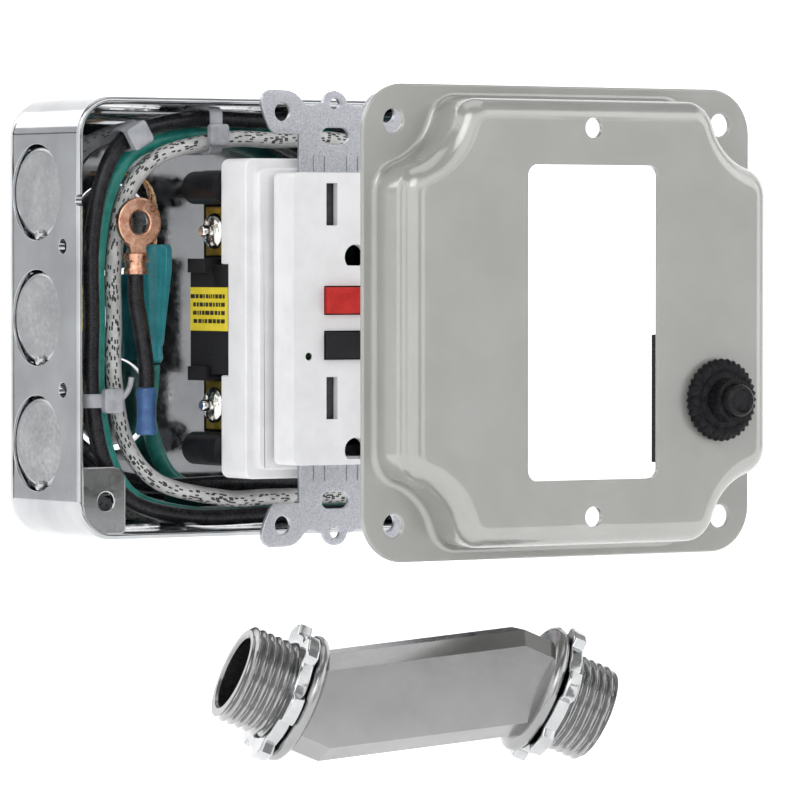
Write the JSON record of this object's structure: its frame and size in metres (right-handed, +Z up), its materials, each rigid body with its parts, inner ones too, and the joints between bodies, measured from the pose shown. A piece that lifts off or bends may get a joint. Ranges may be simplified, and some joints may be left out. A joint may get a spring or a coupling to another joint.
{
  "type": "manual transfer switch kit",
  "caption": "Manual transfer switch kit in exploded order: square steel box with wires, ground-fault receptacle, raised cover with a push-to-reset breaker, and an offset nipple.",
  "frame": {"origin": "centre of the box's outer back face, on the wall", "axes": "+Z up, +Y into the wall, the front faces -Y and +X is to the right seen from the front"},
  "size_m": [0.1302, 0.1791, 0.1465],
  "materials": {
    "galvanised_steel": "bright zinc plate",
    "knockout_steel": "bright zinc plate",
    "strap_zinc": "granular zinc plate",
    "green_screw": "dyed green",
    "black_insulation": "satin",
    "white_insulation": null,
    "green_insulation": "satin",
    "copper": "bare copper",
    "teal_plastic": "moulded",
    "blue_vinyl": "translucent sleeve",
    "tie_nylon": "matt",
    "white_thermoplastic": "satin",
    "black_thermoplastic": "satin",
    "red_plastic": "satin",
    "brass_plate": "stamped",
    "nickel_screw": "polished",
    "board_green": "solder resist",
    "winding": "enamelled wire",
    "dark_steel": "turned",
    "label_yellow": null,
    "lamp_green": "clear lens",
    "cover_paint": "glossy warm grey",
    "breaker_plastic": "satin",
    "zinc_cast": "polished die casting",
    "locknut_steel": "bright zinc plate"
  },
  "bodies": {
    "box": {"box_shell": "galvanised_steel", "side_knockouts": "knockout_steel", "back_knockouts": "knockout_steel", "box_ground_screw": "green_screw", "black_wire_a": "black_insulation", "black_wire_b": "black_insulation", "white_wire_a": "white_insulation", "white_wire_b": "white_insulation", "green_wire": "green_insulation", "lug_wire": "black_insulation", "link_wire": "green_insulation", "bare_copper_wire": "copper", "ring_lug": "copper", "butt_splice": "blue_vinyl", "twist_connector": "teal_plastic", "cable_ties": "tie_nylon"},
    "receptacle": {"mounting_strap": "strap_zinc", "face_plate": "white_thermoplastic", "middle_housing": "white_thermoplastic", "rear_housing": "black_thermoplastic", "housing_screws": "dark_steel", "line_plates": "brass_plate", "neutral_plates": "nickel_screw", "strap_ground_screw": "green_screw", "line_contacts": "brass_plate", "neutral_contacts": "brass_plate", "ground_contacts": "brass_plate", "circuit_board": "board_green", "sensor_coil": "winding", "trip_solenoid": "winding", "solenoid_plunger": "dark_steel", "indicator_light": "lamp_green", "rating_label": "label_yellow"},
    "cover": {"cover_plate": "cover_paint", "breaker_body": "breaker_plastic", "breaker_terminals": "brass_plate"},
    "nipple": {"offset_nipple": "zinc_cast"},
    "reset_button": {"reset_button": "red_plastic"},
    "test_button": {"test_button": "black_thermoplastic"},
    "upper_shutter": {"upper_shutter": "white_thermoplastic"},
    "lower_shutter": {"lower_shutter": "white_thermoplastic"},
    "upper_line_screw": {"upper_line_screw": "nickel_screw"},
    "lower_line_screw": {"lower_line_screw": "nickel_screw"},
    "upper_neutral_screw": {"upper_neutral_screw": "nickel_screw"},
    "lower_neutral_screw": {"lower_neutral_screw": "nickel_screw"},
    "breaker_nut": {"breaker_nut": "breaker_plastic"},
    "breaker_button": {"breaker_button": "breaker_plastic"},
    "left_locknut": {"left_locknut": "locknut_steel"},
    "right_locknut": {"right_locknut": "locknut_steel"}
  },
  "joints": [
    {"name": "receptacle_slide", "type": "slide", "parent": "box", "child": "receptacle", "axis": [0, 1, 0], "range_m": [0, 0.028]},
    {"name": "cover_slide", "type": "slide", "parent": "receptacle", "child": "cover", "axis": [0, 1, 0], "range_m": [0, 0.088]},
    {"name": "nipple_slide", "type": "slide", "parent": "box", "child": "nipple", "axis": [0, 1, 0], "range_m": [0, 0.05]},
    {"name": "reset_button_press", "type": "slide", "parent": "receptacle", "child": "reset_button", "axis": [0, 1, 0], "range_m": [0, 0.0015], "stiffness_N_per_m": 400},
    {"name": "test_button_press", "type": "slide", "parent": "receptacle", "child": "test_button", "axis": [0, 1, 0], "range_m": [0, 0.0011], "stiffness_N_per_m": 400},
    {"name": "upper_shutter_slide", "type": "slide", "parent": "receptacle", "child": "upper_shutter", "axis": [1, 0, 0], "range_m": [0, 0.003], "stiffness_N_per_m": 60},
    {"name": "lower_shutter_slide", "type": "slide", "parent": "receptacle", "child": "lower_shutter", "axis": [1, 0, 0], "range_m": [0, 0.003], "stiffness_N_per_m": 60},
    {"name": "upper_line_screw_turn", "type": "hinge", "parent": "receptacle", "child": "upper_line_screw", "pos_m": [-0.0194, -0.0479, 0.02], "axis": [-1, 0, 0], "continuous": true},
    {"name": "lower_line_screw_turn", "type": "hinge", "parent": "receptacle", "child": "lower_line_screw", "pos_m": [-0.0194, -0.0479, -0.02], "axis": [-1, 0, 0], "continuous": true},
    {"name": "upper_neutral_screw_turn", "type": "hinge", "parent": "receptacle", "child": "upper_neutral_screw", "pos_m": [0.0194, -0.0479, 0.02], "axis": [1, 0, 0], "continuous": true},
    {"name": "lower_neutral_screw_turn", "type": "hinge", "parent": "receptacle", "child": "lower_neutral_screw", "pos_m": [0.0194, -0.0479, -0.02], "axis": [1, 0, 0], "continuous": true},
    {"name": "breaker_nut_turn", "type": "hinge", "parent": "cover", "child": "breaker_nut", "pos_m": [0.033, -0.17135, -0.017], "axis": [0, 1, 0], "continuous": true},
    {"name": "breaker_button_press", "type": "slide", "parent": "cover", "child": "breaker_button", "axis": [0, 1, 0], "range_m": [0, 0.002], "stiffness_N_per_m": 500},
    {"name": "left_locknut_turn", "type": "hinge", "parent": "nipple", "child": "left_locknut", "pos_m": [-0.06398, -0.14591, -0.0782], "axis": [-0.8722, 0.2834, 0.3987], "continuous": true},
    {"name": "right_locknut_turn", "type": "hinge", "parent": "nipple", "child": "right_locknut", "pos_m": [-0.00802, -0.16409, -0.0798], "axis": [0.8722, -0.2834, -0.3987], "continuous": true}
  ]
}
